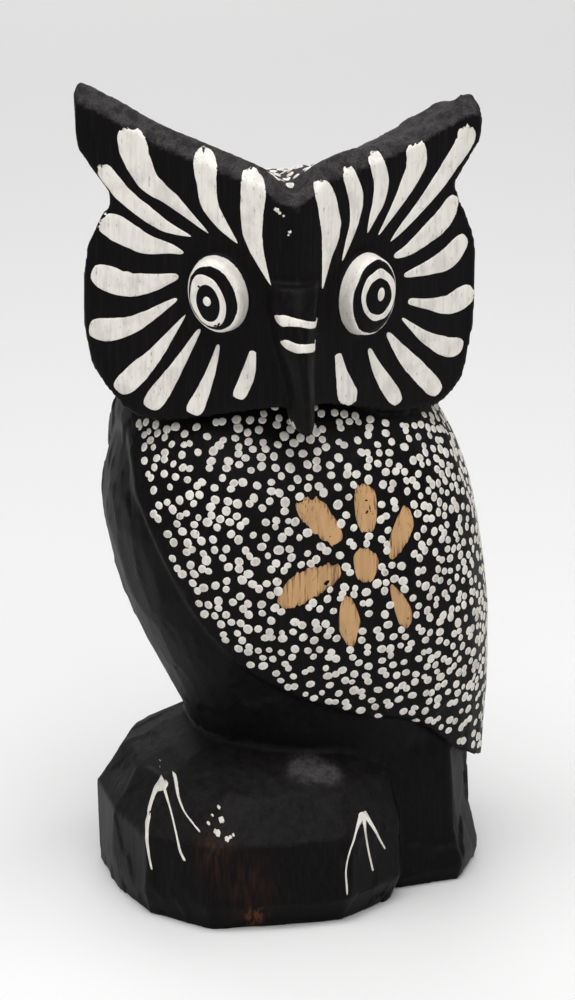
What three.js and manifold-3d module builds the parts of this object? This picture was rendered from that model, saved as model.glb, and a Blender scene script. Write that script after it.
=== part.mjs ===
// A small owl carved from one block of wood, standing on the stump that is left at its feet.
// Millimetres, +Z up. The face looks along -Y and the breast along -X, so the head is turned
// over the shoulder. The origin is at the middle of the underside.
import * as THREE from "three";
import { mergeVertices } from "three/addons/utils/BufferGeometryUtils.js";
import Module from "manifold-3d";

const wasm = await Module();
wasm.setup();

// Face: two flat planes that meet in an upright ridge and fall back at FACE_SLOPE. The
// tufts are the first TUFT_SHARE of each half outline, and their bevel fades out beyond it.
const RIDGE_Y = -45;
const FACE_SLOPE = THREE.MathUtils.degToRad(27);
const FACE_FALL = Math.tan(FACE_SLOPE);
const TUFT_BEVEL = 4.6;
const RIM_THICKNESS = 9;
const RIM_TAPER = 0.9;
const MASK_BACK_Y = -4;
const MASK_BACK_TAPER = 0.68;
const MASK_CENTRE_Z = 158;
const OUTLINE_STEPS = 44;
const TUFT_SHARE = 0.29;
const BEVEL_FADE = 0.08;
const BEVEL_BACK = 0.4;

// Half outlines of the face from the notch between the tufts down to the chin, as seen from
// the front. "top" is the upper edge of the tuft, "side" goes from the tip to the chin.
const LEFT_FACE = {
  top: [[0, 184.5], [-6, 187], [-10.4, 188.9], [-22.1, 193.4], [-28.9, 196], [-37.3, 200.3], [-47.5, 206]],
  side: [[-49.4, 204.6], [-49.5, 190.6], [-41, 178.3], [-46.7, 166.9], [-48.1, 152], [-45.9, 136.6],
    [-38.5, 126.2]],
  chin: [[-32.9, 124.3], [-22.5, 125.7], [-12.1, 128.2], [0, 130.6]],
};
const RIGHT_FACE = {
  top: [[0, 184.5], [6.4, 188.3], [15.2, 190.4], [23.5, 192.7], [31.9, 195.2], [40.1, 198.7], [46, 200.6]],
  side: [[49.6, 198.2], [49.8, 189.5], [42, 178.4], [47.5, 165.1], [48.2, 150], [45.4, 131], [38.5, 124.1]],
  chin: [[31, 124.1], [24, 124.8], [10.6, 129], [0, 130.6]],
};

// Back of the head, as stations: height, left, right, near side and far side.
const SKULL_STATIONS = [
  [114, -33, 39, -20, 30],
  [125, -37, 38, -21, 30.5],
  [140, -41, 41, -24, 32.5],
  [155, -42, 42, -26, 32],
  [167, -37.5, 37.5, -27, 27],
  [174, -28, 28, -27, 18],
  [177.8, -13, 13, -24, 6],
];
const SKULL_SQUARENESS = 2.2;
const SKULL_SEGMENTS = 40;
const SKULL_RINGS = 16;

// Eyes: oval bosses that stand square on the face planes, their tops leaning outwards.
const LEFT_EYE = { x: -17.3, z: 157.3, width: 13.2, height: 17.6, lean: 16, side: -1 };
const RIGHT_EYE = { x: 16.9, z: 155.8, width: 13.7, height: 18.8, lean: 10, side: 1 };
const EYE_RISE = 5.6;
const EYE_ROOT = 8;
const EYE_SEGMENTS = 32;
// Rows of the eye's profile: share of its radius, share of its rise above the face.
const EYE_PROFILE = [
  [1.06, 0],
  [1, 0.72],
  [0.95, 0.9],
  [0.84, 1],
  [0.5, 1.05],
  [0, 1.08],
];

// Beak stations: height, middle, half width and how far it stands in front of the ridge.
const BEAK_STATIONS = [
  [160.4, -0.6, 6.5, 2.6],
  [155, -0.9, 6.2, 6.0],
  [148, -0.8, 5.3, 8.6],
  [141, -0.2, 4, 9.8],
  [134, 0.6, 3.2, 9.6],
  [127.5, 1.1, 2.8, 8.2],
  [124.6, 1.2, 1.9, 6.6],
];
const BEAK_ROOT_Y = -38;
const BEAK_SHOULDER_RISE = 0.55;
const BEAK_SHOULDER_WIDTH = 0.72;
const BEAK_RIDGE_WIDTH = 0.18;

// Furrow that runs down the forehead from the notch between the tufts.
const FURROW_FOOT_Z = 176;
const FURROW_DEPTH = 3.2;
const FURROW_HALF_WIDTH = 7.2;

// Body stations: height, breast, back, near side and far side.
const BODY_STATIONS = [
  [20, -19, 49, -27, 27],
  [38, -20, 51, -30, 30],
  [52, -26.4, 52.2, -35, 34],
  [65, -32.8, 52.2, -39, 37],
  [78, -37.6, 51.2, -41, 38],
  [96, -41, 48.4, -41, 37],
  [109, -39, 44.6, -38.5, 34],
  [119, -35.4, 40, -34, 31],
  [131, -31, 33, -25, 27],
  [140, -24, 26, -14, 22],
];
const BODY_SQUARENESS = 2.7;
const BODY_SEGMENTS = 60;
const BODY_RINGS = 26;

// Folded wings: a skin that stands proud of the body, cut to the wing's outline from the side.
const WING_RISE = 2.3;
const TAIL_FLARE = 3.4;
const TAIL_FLARE_TOP_Z = 70;
const WING_EDGE = [
  [-37.5, 140],
  [-37.3, 115.7],
  [-37, 107.4],
  [-35.6, 101.3],
  [-30.6, 88.9],
  [-23, 75.4],
  [-12.7, 63.4],
  [1.3, 54.6],
  [15.3, 49],
  [31.5, 44.6],
  [43, 35.6],
  [58, 24],
];
const WING_FAR_X = 70;
const WING_TOP_Z = 150;
const WING_CUT_DEPTH = 120;
const WING_EDGE_STEPS = 30;

// Stump stations: height, left, right, front and back of the lump under the feet.
const STUMP_STATIONS = [
  [0, -42.5, 30, -51.5, 38],
  [7, -43.2, 32, -53, 39],
  [21, -42, 33, -51, 38],
  [30.5, -36, 31, -44.5, 32],
  [35.5, -28.5, 28, -36, 26],
  [40, -17, 20, -24, 20],
];
const STUMP_SQUARENESS = 2.5;
const STUMP_SEGMENTS = 14;
const STUMP_RINGS = 5;
const STUMP_UNEVENNESS = 0.05;

// Trunk stations: the block left standing under the tail, down to the floor.
const TRUNK_STATIONS = [
  [0, -6, 52.4, -31, 33],
  [4, -6, 53.2, -32, 34],
  [15, -6, 51.6, -31, 33],
  [30, -6, 50.2, -30, 31],
  [48, -6, 48.8, -28, 30],
];
const TRUNK_SQUARENESS = 3;
const TRUNK_SEGMENTS = 13;
const TRUNK_RINGS = 4;
const TRUNK_UNEVENNESS = 0.03;
const TRUNK_TURN = 0.2;

const BLACK_STAIN = new THREE.MeshStandardMaterial({
  color: 0x17161a,
  roughness: 0.38,
  metalness: 0,
});

// Solids and booleans.
function solidOf(geometry) {
  const plain = geometry.clone();
  plain.deleteAttribute("normal");
  plain.deleteAttribute("uv");
  const merged = mergeVertices(plain, 1e-4);
  return new wasm.Manifold(
    new wasm.Mesh({
      numProp: 3,
      vertProperties: merged.attributes.position.array,
      triVerts: new Uint32Array(merged.index.array),
    }),
  );
}

function geometryOf(solid) {
  const mesh = solid.getMesh();
  const geometry = new THREE.BufferGeometry();
  geometry.setAttribute("position", new THREE.BufferAttribute(mesh.vertProperties, 3));
  geometry.setIndex(new THREE.BufferAttribute(mesh.triVerts, 1));
  return geometry;
}

// A row read off a table of stations at a share of its length, on a smooth curve through
// the rows or on straight lines between them.
function stationAt(stations, share, smooth) {
  const last = stations.length - 1;
  const place = share * last;
  const row = Math.min(Math.floor(place), last - 1);
  const t = place - row;
  const before = stations[Math.max(row - 1, 0)];
  const from = stations[row];
  const to = stations[row + 1];
  const after = stations[Math.min(row + 2, last)];
  if (!smooth) return from.map((value, column) => value + t * (to[column] - value));
  return from.map((value, column) => {
    const slopeIn = (to[column] - before[column]) / 2;
    const slopeOut = (after[column] - value) / 2;
    const rise = to[column] - value;
    const square = 3 * rise - 2 * slopeIn - slopeOut;
    const cube = slopeIn + slopeOut - 2 * rise;
    return value + t * (slopeIn + t * (square + t * cube));
  });
}

// A closed form through level, rounded-square rings at even shares of the stations. An
// uneven one has its rings rippled a little, as an axe leaves them.
function levelForm(options) {
  const { stations, squareness, segments, rings, smooth = false, unevenness = 0, turn = 0 } = options;
  const form = new THREE.CylinderGeometry(1, 1, 1, segments, rings);
  form.rotateX(Math.PI / 2);
  const position = form.attributes.position;
  for (let i = 0; i < position.count; i += 1) {
    const x = position.getX(i);
    const y = position.getY(i);
    const share = THREE.MathUtils.clamp(position.getZ(i) + 0.5, 0, 1);
    const [height, left, right, near, far] = stationAt(stations, share, smooth);
    const reach = Math.min(Math.hypot(x, y), 1);
    const angle = Math.atan2(y, x) + turn;
    const c = Math.cos(angle);
    const s = Math.sin(angle);
    const round = (Math.abs(c) ** squareness + Math.abs(s) ** squareness) ** (-1 / squareness);
    const ripple = Math.sin(3 * angle + 5 * share) * Math.sin(2 * angle - 4 * share + 1);
    const size = reach * round * (1 + unevenness * ripple);
    const halfWidth = (right - left) / 2;
    const middle = (right + left) / 2;
    position.setXYZ(
      i,
      middle + size * c * halfWidth,
      (near + far) / 2 + size * s * ((far - near) / 2),
      height,
    );
  }
  return solidOf(form);
}

// A closed form through rings of equally many points. Each end is closed by a fan of
// triangles around a hub point.
function skin(rings, firstHub, lastHub) {
  const count = rings[0].length;
  const lastStart = (rings.length - 1) * count;
  const hub = rings.length * count;
  const index = [];
  for (let i = 0; i < count; i += 1) {
    const j = (i + 1) % count;
    index.push(hub, i, j);
    index.push(hub + 1, lastStart + j, lastStart + i);
    for (let row = 0; row < rings.length - 1; row += 1) {
      const a = row * count + i;
      const b = row * count + j;
      index.push(a, a + count, b, b, a + count, b + count);
    }
  }
  const geometry = new THREE.BufferGeometry();
  const positions = [...rings.flat(2), ...firstHub, ...lastHub];
  geometry.setAttribute("position", new THREE.Float32BufferAttribute(positions, 3));
  geometry.setIndex(index);
  return solidOf(geometry);
}

// Points evenly spaced along a half outline of the face, from the notch to the chin.
function halfOutline(half) {
  const path = new THREE.CurvePath();
  const asVectors = (points) => points.map(([x, z]) => new THREE.Vector2(x, z));
  path.add(new THREE.SplineCurve(asVectors(half.top)));
  path.add(new THREE.LineCurve(asVectors(half.top).at(-1), asVectors(half.side)[0]));
  path.add(new THREE.LineCurve(asVectors(half.side)[0], asVectors(half.side)[1]));
  path.add(new THREE.LineCurve(asVectors(half.side)[1], asVectors(half.side)[2]));
  path.add(new THREE.SplineCurve(asVectors(half.side).slice(2)));
  path.add(new THREE.SplineCurve([asVectors(half.side).at(-1), ...asVectors(half.chin)]));
  return path.getSpacedPoints(OUTLINE_STEPS);
}

function faceY(x) {
  return RIDGE_Y + FACE_FALL * Math.abs(x);
}

// The mask of the face: flat planes, a bevel that faces up along the tufts, a rim and a
// back that narrows towards the skull.
function faceMask() {
  const left = halfOutline(LEFT_FACE);
  const right = halfOutline(RIGHT_FACE);
  const outline = [...left, ...right.slice(1, -1).reverse()];
  const half = left.length - 1;
  const bevel = outline.map((point, i) => {
    const share = Math.min(i, outline.length - i) / half;
    const grown = THREE.MathUtils.smoothstep(share, -BEVEL_FADE, BEVEL_FADE);
    const faded = THREE.MathUtils.smoothstep(share, TUFT_SHARE, TUFT_SHARE + BEVEL_FADE);
    return TUFT_BEVEL * grown * (1 - faded);
  });
  const front = outline.map((point, i) => [point.x, faceY(point.x), point.y - bevel[i]]);
  const rim = outline.map((point, i) => [point.x, faceY(point.x) + bevel[i] + BEVEL_BACK, point.y]);
  const narrowed = (taper, y) =>
    outline.map((point) => [
      point.x * taper,
      y(point.x),
      MASK_CENTRE_Z + (point.y - MASK_CENTRE_Z) * taper,
    ]);
  const behind = narrowed(RIM_TAPER, (x) => faceY(x) + RIM_THICKNESS + TUFT_BEVEL);
  const back = narrowed(MASK_BACK_TAPER, () => MASK_BACK_Y);
  const rings = [front, rim, behind, back];
  return skin(rings, [0, RIDGE_Y, MASK_CENTRE_Z], [0, MASK_BACK_Y, MASK_CENTRE_Z]);
}

// An eye boss: a low round-shouldered drum, drawn out to an oval.
function eye({ x, z, width, height, lean, side }) {
  const outside = EYE_PROFILE.map(([radius, rise]) => new THREE.Vector2(radius, rise * EYE_RISE));
  const rooted = [new THREE.Vector2(0, -EYE_ROOT), new THREE.Vector2(outside[0].x, -EYE_ROOT), ...outside];
  const boss = new THREE.LatheGeometry(rooted, EYE_SEGMENTS);
  boss.scale(width / 2, 1, height / 2);
  boss.rotateY(-side * THREE.MathUtils.degToRad(lean));
  boss.rotateX(Math.PI);
  boss.rotateZ(side * FACE_SLOPE);
  boss.translate(x, faceY(x), z);
  return solidOf(boss);
}

// The beak: a ridge-fronted wedge that grows out of the face and hangs over the breast.
function beak() {
  const rings = BEAK_STATIONS.map(([z, middle, half, rise]) => {
    const leftSide = [
      [middle - half, BEAK_ROOT_Y, z],
      [middle - half, RIDGE_Y + FACE_FALL * half, z],
      [middle - BEAK_SHOULDER_WIDTH * half, RIDGE_Y - BEAK_SHOULDER_RISE * rise, z],
      [middle - BEAK_RIDGE_WIDTH * half, RIDGE_Y - rise, z],
    ];
    const rightSide = leftSide.map(([x, y]) => [2 * middle - x, y, z]).reverse();
    return [...leftSide, ...rightSide];
  });
  const hubOf = ([z, middle]) => [middle, BEAK_ROOT_Y - 1, z];
  return skin(rings, hubOf(BEAK_STATIONS[0]), hubOf(BEAK_STATIONS.at(-1)));
}

// The furrow of the forehead: a three-sided gouge cut that dies out on the ridge.
function furrow() {
  const mouthZ = LEFT_FACE.top[0][1] + 1;
  const openY = RIDGE_Y - 6;
  const ring = (z, halfWidth, depth) => [
    [halfWidth, openY, z],
    [0, RIDGE_Y + depth, z],
    [-halfWidth, openY, z],
  ];
  const rings = [
    ring(mouthZ, FURROW_HALF_WIDTH, FURROW_DEPTH),
    ring(FURROW_FOOT_Z, FURROW_HALF_WIDTH / 3, -FURROW_DEPTH / 16),
  ];
  return skin(rings, [0, openY + 1, mouthZ], [0, openY + 1, FURROW_FOOT_Z]);
}

// The body's stations moved out by the wings' rise, and out again behind the tail.
function wingStations() {
  return BODY_STATIONS.map(([z, breast, back, near, far]) => {
    const flare = TAIL_FLARE * (1 - THREE.MathUtils.smoothstep(z, 0, TAIL_FLARE_TOP_Z));
    return [z, breast - WING_RISE, back + WING_RISE + flare, near - WING_RISE, far + WING_RISE];
  });
}

// The side view of the folded wings, through the whole body.
function wingPrism() {
  const shape = new THREE.Shape();
  shape.moveTo(WING_EDGE[0][0], WING_TOP_Z);
  shape.lineTo(...WING_EDGE[0]);
  shape.splineThru(WING_EDGE.slice(1).map(([x, z]) => new THREE.Vector2(x, z)));
  shape.lineTo(WING_FAR_X, WING_EDGE.at(-1)[1]);
  shape.lineTo(WING_FAR_X, WING_TOP_Z);
  const prism = new THREE.ExtrudeGeometry(shape, {
    depth: WING_CUT_DEPTH,
    bevelEnabled: false,
    curveSegments: WING_EDGE_STEPS,
  });
  prism.translate(0, 0, -WING_CUT_DEPTH / 2);
  prism.rotateX(Math.PI / 2);
  return solidOf(prism);
}

function owl() {
  const bodyForm = {
    stations: BODY_STATIONS,
    squareness: BODY_SQUARENESS,
    segments: BODY_SEGMENTS,
    rings: BODY_RINGS,
    smooth: true,
  };
  const body = levelForm(bodyForm);
  const wings = levelForm({ ...bodyForm, stations: wingStations() }).intersect(wingPrism());
  const skull = levelForm({
    stations: SKULL_STATIONS,
    squareness: SKULL_SQUARENESS,
    segments: SKULL_SEGMENTS,
    rings: SKULL_RINGS,
    smooth: true,
  });
  const stump = levelForm({
    stations: STUMP_STATIONS,
    squareness: STUMP_SQUARENESS,
    segments: STUMP_SEGMENTS,
    rings: STUMP_RINGS,
    unevenness: STUMP_UNEVENNESS,
  });
  const trunk = levelForm({
    stations: TRUNK_STATIONS,
    squareness: TRUNK_SQUARENESS,
    segments: TRUNK_SEGMENTS,
    rings: TRUNK_RINGS,
    unevenness: TRUNK_UNEVENNESS,
    turn: TRUNK_TURN,
  });
  const head = [skull, faceMask(), eye(LEFT_EYE), eye(RIGHT_EYE), beak()];
  const whole = [wings, stump, trunk, ...head].reduce((joined, piece) => joined.add(piece), body);
  const carved = whole.subtract(furrow());
  const { min, max } = carved.boundingBox();
  return carved.translate([-(min[0] + max[0]) / 2, -(min[1] + max[1]) / 2, -min[2]]);
}

const owlMesh = new THREE.Mesh(geometryOf(owl()), BLACK_STAIN);
owlMesh.name = "owl";

const figurine = new THREE.Group();
figurine.add(owlMesh);

export default figurine;
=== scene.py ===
import math

import bmesh
import bpy
import numpy as np
from bpy.props import FloatProperty, FloatVectorProperty, IntProperty, PointerProperty
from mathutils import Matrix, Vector


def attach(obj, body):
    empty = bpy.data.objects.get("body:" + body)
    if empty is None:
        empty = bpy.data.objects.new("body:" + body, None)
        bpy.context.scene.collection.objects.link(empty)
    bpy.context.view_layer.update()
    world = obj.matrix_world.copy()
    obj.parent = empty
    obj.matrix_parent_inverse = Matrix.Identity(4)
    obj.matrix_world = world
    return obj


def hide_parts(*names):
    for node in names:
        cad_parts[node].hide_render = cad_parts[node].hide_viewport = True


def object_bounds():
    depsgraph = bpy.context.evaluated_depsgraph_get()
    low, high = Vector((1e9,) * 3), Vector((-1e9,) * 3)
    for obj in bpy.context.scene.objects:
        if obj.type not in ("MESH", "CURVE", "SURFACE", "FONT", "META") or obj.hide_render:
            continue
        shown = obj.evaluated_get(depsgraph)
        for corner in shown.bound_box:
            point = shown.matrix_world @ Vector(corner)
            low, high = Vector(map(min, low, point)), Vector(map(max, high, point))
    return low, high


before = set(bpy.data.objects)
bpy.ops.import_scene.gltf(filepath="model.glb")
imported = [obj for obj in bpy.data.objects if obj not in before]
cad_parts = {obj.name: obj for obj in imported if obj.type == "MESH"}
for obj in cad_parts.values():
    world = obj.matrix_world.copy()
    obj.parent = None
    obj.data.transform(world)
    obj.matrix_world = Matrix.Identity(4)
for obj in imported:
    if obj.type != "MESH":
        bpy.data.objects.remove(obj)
CAD_LOW, CAD_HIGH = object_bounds()

# A small owl carved from one block of wood, stained black, with painted strokes round the
# eyes, painted dots on the folded wings and a flower of bare wood. Tables are in millimetres,
# seen from the front: x to the right, z up, and y away from the viewer.

bl_info = {
    "name": "Carved Owl",
    "version": (1, 0, 0),
    "blender": (4, 5, 0),
    "location": "View3D > Sidebar > Owl",
    "description": "Dresses the carved owl with stain, paint and bare wood",
    "category": "Object",
}

MM = 0.001

# Carving: grid of the fine mesh, number and depth of the knife cuts, height below which the
# underside is pressed flat, and room left for paint inside the solid's box.
VOXEL = 0.98
CUT_COUNT = 1100
CUT_DEPTH = 0.34
BASE_HOLD = 1.2
PAINT_ROOM = 0.2
# Films are laid on from a plane this far in front.
FRONT_Y = -80.0

# Face strokes: points along the middle from the outer end to the tip, each with the
# stroke's width there. "brushed" ends are ragged, "round" ends are full.
BRUSHED = (
    [(-12.6, 187.2, 6.3), (-12.7, 182, 6.3), (-13.0, 177.2, 5.7), (-12.8, 171.6, 4.7), (-11.3, 166.2, 2.7),
     (-9.0, 160.1, 0.3)],
    [(-23.4, 191.2, 6.2), (-23.2, 187, 5.8), (-23.1, 183.9, 4.9), (-22.3, 178.4, 4.2), (-19.6, 173.8, 2.9),
     (-16.1, 169.4, 0.3)],
    [(-40.3, 196.0, 7.4), (-39.4, 192, 7.6), (-38.5, 188.4, 7.0), (-35.8, 183.0, 5.8), (-30.5, 178.8, 3.6),
     (-22.5, 171.4, 0.3)],
    [(-46.6, 186.4, 3.6), (-45.4, 184.5, 4.3), (-41.5, 179.5, 4.3), (-36.6, 175.5, 4.1), (-31.9, 172.4, 3.0),
     (-26.3, 170.4, 0.3)],
    [(3.1, 185.0, 4.6), (3.4, 183.3, 4.9), (5.0, 178.2, 6.0), (5.8, 172.0, 5.7), (4.8, 165.9, 2.9),
     (3.5, 158.3, 0.3)],
    [(9.9, 186.9, 3.7), (10.6, 185.1, 3.9), (12.5, 179.3, 4.3), (12.0, 173.5, 2.8), (10.4, 168.7, 1.7),
     (8.8, 164.3, 0.3)],
    [(17.0, 189.6, 4.0), (17.7, 188.0, 4.3), (19.2, 182.7, 4.6), (18.7, 177.9, 3.9), (17.1, 174.0, 2.3),
     (15.5, 170.1, 0.3)],
    [(28.5, 190.6, 6.0), (28.6, 189.1, 6.3), (28.7, 184.9, 6.0), (26.2, 180.2, 4.6), (23.3, 175.7, 2.8),
     (18.4, 169.1, 0.3)],
    [(42.6, 193.0, 5.4), (42.4, 191.6, 5.7), (42.1, 188.9, 5.8), (38.6, 184.3, 4.9), (34.2, 179.0, 4.4),
     (29.6, 174.3, 3.1), (25.0, 170.1, 2.0), (21.7, 167.1, 0.3)],
)
ROUND = (
    [(-47.0, 174.2, 5.0), (-45.4, 172.6, 6.4), (-42.2, 170.7, 7.2), (-36.6, 167.9, 5.5), (-31.9, 167.3, 3.2),
     (-28.0, 166.3, 0.8)],
    [(-49.2, 160.3, 6.6), (-48.0, 159.9, 7.0), (-42.6, 157.9, 7.0), (-36.9, 158.1, 5.6), (-29.2, 160.7, 1.4)],
    [(-50.0, 146.1, 6.8), (-49.1, 146.0, 7.0), (-44.3, 146.4, 6.1), (-38.6, 148.6, 4.2), (-29.6, 155.2, 0.9)],
    [(-43.6, 130.8, 5.2), (-42.6, 131.9, 5.5), (-38.7, 136.2, 5.4), (-34.4, 141.5, 3.6), (-27.8, 151.4, 0.3)],
    [(-36.5, 127.1, 5.2), (-35.9, 128.2, 5.4), (-32.6, 133.5, 4.5), (-29.2, 139.5, 2.9), (-24.6, 148.2, 0.9)],
    [(-26.6, 126.6, 4.9), (-26.4, 127.1, 4.9), (-23.9, 133.0, 3.3), (-21.8, 139.4, 2.0), (-20.5, 144.8, 0.8)],
    [(-16.4, 131.3, 3.4), (-16.2, 131.9, 3.6), (-14.0, 137.6, 3.5), (-12.8, 143.9, 1.5)],
    [(40.0, 175.9, 3.4), (39.2, 174.8, 4.1), (36.0, 170.4, 6.1), (31.3, 167.1, 5.1), (26.7, 164.4, 3.3),
     (22.6, 163.3, 1.3)],
    [(43.0, 165.3, 4.2), (41.9, 164.5, 4.9), (37.8, 160.7, 6.2), (32.2, 159.1, 4.2), (25.4, 158.2, 1.1)],
    [(45.2, 151.9, 7.0), (43.6, 151.0, 7.0), (38.5, 149.1, 5.8), (32.9, 150.0, 3.2), (26.6, 151.8, 1.6)],
    [(42.4, 137.4, 5.4), (40.9, 137.9, 5.7), (37.2, 138.7, 5.3), (31.6, 142.0, 3.3), (25.0, 147.9, 0.6)],
    [(36.0, 127.1, 4.6), (35.1, 128.0, 4.9), (30.6, 132.9, 5.3), (25.5, 138.8, 3.9), (21.0, 145.0, 1.2)],
    [(24.7, 126.4, 3.8), (24.3, 127.0, 4.0), (21.7, 130.9, 4.5), (18.4, 136.5, 3.0), (16.1, 142.0, 1.0)],
    [(11.8, 128.4, 4.7), (11.6, 129.0, 4.9), (10.5, 131.2, 5.9), (8.9, 136.5, 3.7), (7.7, 142.2, 1.8)],
)
BEAK_STROKES = (
    [(-8.7, 152.6, 3.0), (-7.8, 152.9, 3.4), (-6.4, 153.1, 2.8), (-3.6, 152.9, 1.9), (-0.4, 151.9, 1.8),
     (2.3, 151.1, 1.5)],
    [(-7.6, 148.3, 1.8), (-6.6, 147.7, 2.4), (-5.0, 147.2, 2.6), (-2.6, 147.1, 2.3), (0.0, 146.4, 2.1),
     (1.8, 145.8, 1.5)],
)
# Claws: thin trailed lines with a blob of paint at the top.
CLAWS = (
    [(-32.6, 33.2, 1.1), (-33.0, 31.9, 1.6), (-34.2, 30.4, 1.5), (-35.7, 28.7, 0.7), (-37.8, 24.8, 0.6),
     (-39.1, 21.1, 0.9), (-38.8, 16.1, 0.7), (-38.2, 12.4, 0.6)],
    [(-33.4, 31.4, 1.3), (-33.7, 30.3, 0.9), (-32.9, 26.0, 0.6), (-32.5, 22.9, 0.6), (-32.0, 19.3, 0.7),
     (-30.9, 16.7, 0.9)],
    [(-30.7, 33.4, 1.0), (-30.8, 32.4, 1.2), (-30.9, 29.9, 0.9), (-30.1, 27.3, 0.6), (-29.0, 25.8, 0.6),
     (-27.0, 23.9, 0.7)],
    [(13.6, 25.9, 2.2), (13.3, 24.9, 2.7), (11.6, 22.9, 1.0), (9.4, 18.6, 0.6), (8.2, 13.8, 0.6),
     (8.3, 9.4, 0.8), (8.3, 7.5, 0.5)],
    [(14.1, 25.6, 2.0), (14.1, 24.3, 1.9), (14.0, 21.4, 0.7), (14.7, 16.7, 0.6), (16.0, 10.8, 0.6)],
    [(14.4, 25.8, 1.6), (14.6, 24.9, 1.6), (16.9, 20.8, 0.9), (18.4, 17.7, 0.7), (19.9, 14.8, 0.5)],
)
CLAW_WIDTH = 0.8
# Small white spots: x, z, radius. Those low on the stump are stray flecks of paint; the ones from z 172 to
# 178 are white spots on the forehead.
FLECKS = (
    (-22.1, 29.3, 0.42), (-21.8, 27.0, 0.72), (-24.9, 25.9, 0.46), (-23.2, 24.4, 0.78), (-21.0, 23.2, 0.66),
    (-19.4, 24.0, 0.38), (-20.2, 23.6, 0.45), (-23.8, 27.6, 0.3), (-7.6, 178.3, 0.62), (-6.9, 177.6, 0.42),
    (-6.1, 177.0, 0.3), (-4.7, 173.2, 0.42), (-5.0, 172.4, 0.26), (-2.6, 121.6, 0.3),
)

# Eyes: middle, width, height and lean of each boss, and the slope of the face it stands on. The
# painted edges are leaning ovals, in shares of the boss's half width and half height: middle
# across, middle up, half width, half height, lean.
EYE_RISE = 5.6
EYE_PROFILE_RADIUS = (0, 0.5, 0.84, 0.95, 1, 1.06)
EYE_PROFILE_RISE = (1.08, 1.05, 1, 0.9, 0.72, 0.0)
EYE_UNSTEADY = 0.045
FACE_SLOPE = math.radians(27)
LEFT_EYE = {
    "centre": (-20.09, -28.92, 157.3),
    "width": 13.2,
    "height": 17.6,
    "lean": math.radians(16),
    "side": -1,
    "black": (-0.07, -0.01, 0.875, 0.89, math.radians(13)),
    "ring": (-0.22, -0.05, 0.645, 0.765, math.radians(13)),
    "pupil": (-0.23, -0.12, 0.415, 0.52, math.radians(-15)),
    "dot": (-1.6, -0.45, 1.05, 1.25),
}
RIGHT_EYE = {
    "centre": (14.11, -29.13, 155.8),
    "width": 13.7,
    "height": 18.8,
    "lean": math.radians(10),
    "side": 1,
    "black": (0, 0, 0.92, 0.93, 0),
    "ring": (0.075, 0.065, 0.75, 0.685, math.radians(-8)),
    "pupil": (0.085, 0.025, 0.555, 0.45, 0),
    "dot": (1.04, 0.87, 1.1, 1.75),
}

# Flower of bare wood, corners of each petal.
PETALS = (
    [(-3.0, 105.6), (1.7, 106.8), (4.6, 105.0), (8.5, 97.6), (5.8, 95.3), (-0.3, 100.2)],
    [(12.2, 108.9), (14.7, 109.2), (16.9, 107.2), (17.2, 101.7), (16.1, 98.2), (13.3, 98.0), (11.9, 101.0),
     (11.5, 105.7)],
    [(24.5, 103.3), (26.5, 100.1), (26.4, 97.2), (23.7, 92.9), (20.8, 90.1), (19.8, 93.7), (22.0, 100.0)],
    [(20.3, 83.8), (23.2, 82.0), (25.9, 77.2), (25.9, 73.3), (23.6, 72.8), (21.7, 77.0)],
    [(10.0, 82.4), (12.8, 76.2), (12.4, 72.5), (11.1, 68.6), (7.9, 72.6), (7.8, 79.7)],
    [(-7.7, 81.3), (-4.3, 87.8), (6.0, 90.8), (8.0, 89.1), (6.8, 86.2), (-2.1, 80.3)],
    [(11.0, 91.2), (12.2, 93.6), (15.2, 93.6), (17.3, 91.2), (17.0, 87.7), (15.2, 85.3), (12.2, 86.1)],
)

# Lower edge of the folded wings as x against height, and the underside of the face.
WING_EDGE_Z = (16.8, 24, 35.6, 44.6, 49, 54.6, 63.4, 75.4, 88.9, 101.3, 107.4, 115.7, 140)
WING_EDGE_X = (65, 55.2, 40.2, 28.7, 12.5, -1.5, -15.5, -25.8, -33.4, -38.4, -39.8, -40.1, -40.3)
CHIN_X = (-41, -35.7, -25.3, -14.9, -2.8, 7.8, 21.2, 28.2, 36)
CHIN_Z = (125, 124.3, 125.7, 128.2, 130.6, 129, 124.8, 124.1, 124)
WING_FOOT = 27
NAPE_Y = 5.5
HEAD_FOOT = 118
# Dotted strip that runs back over the crown from behind the notch between the tufts.
CROWN_FOOT = 176
CROWN_MIDDLE = -3.2
CROWN_FRONT = -29.0
CROWN_HALF = 4.8
CROWN_SPREAD = 0.35
DOT_GAP = 2.36
DOT_MARGIN = 2.1
PAIR_SHARE = 0.5
# Dots stand closer higher up and at the back: a place on the owl, its place in the spacing rule.
CROWDING_Z = ((0, 50, 80, 206), (0, 39, 72, 223))
CROWDING_X = ((-60, 30, 60), (-60, 30, 66))
DOT_CHOICES = 20000

# Worn places on the stain: x, y, z of the middle, reach across, reach up, strength.
WORN_PLACES = (
    (-25.0, -42.0, 21.0, 4.0, 6.5, 0.4),
    (-16.0, -44.0, 11.0, 5.0, 7.0, 0.22),
    (-14.6, -43.8, 3.0, 1.9, 2.2, 3.6),
    (0.9, -45.0, 138.0, 0.8, 9.0, 1.1),
    (1.6, -44.0, 129.0, 0.8, 4.0, 0.7),
)
# Places painted lighter grey: the two on the stump's top are pitted end grain, the two on its left side are
# painted sheen. x, y, z of the middle, reach, strength.
PITS_AND_SHEEN_PLACES = (
    (1.1, -28.4, 36.1, 4.6, 1.6),
    (5.6, -30.2, 34.6, 3.4, 1.6),
    (-30.0, 2.0, 33.5, 8.0, 0.34),
    (-38.0, 0.0, 24.0, 7.0, 0.2),
)
# Share of the painted sheen and pits that up-facing wood on the stump gets.
STUMP_PITS_AND_SHEEN = 0.1
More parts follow.
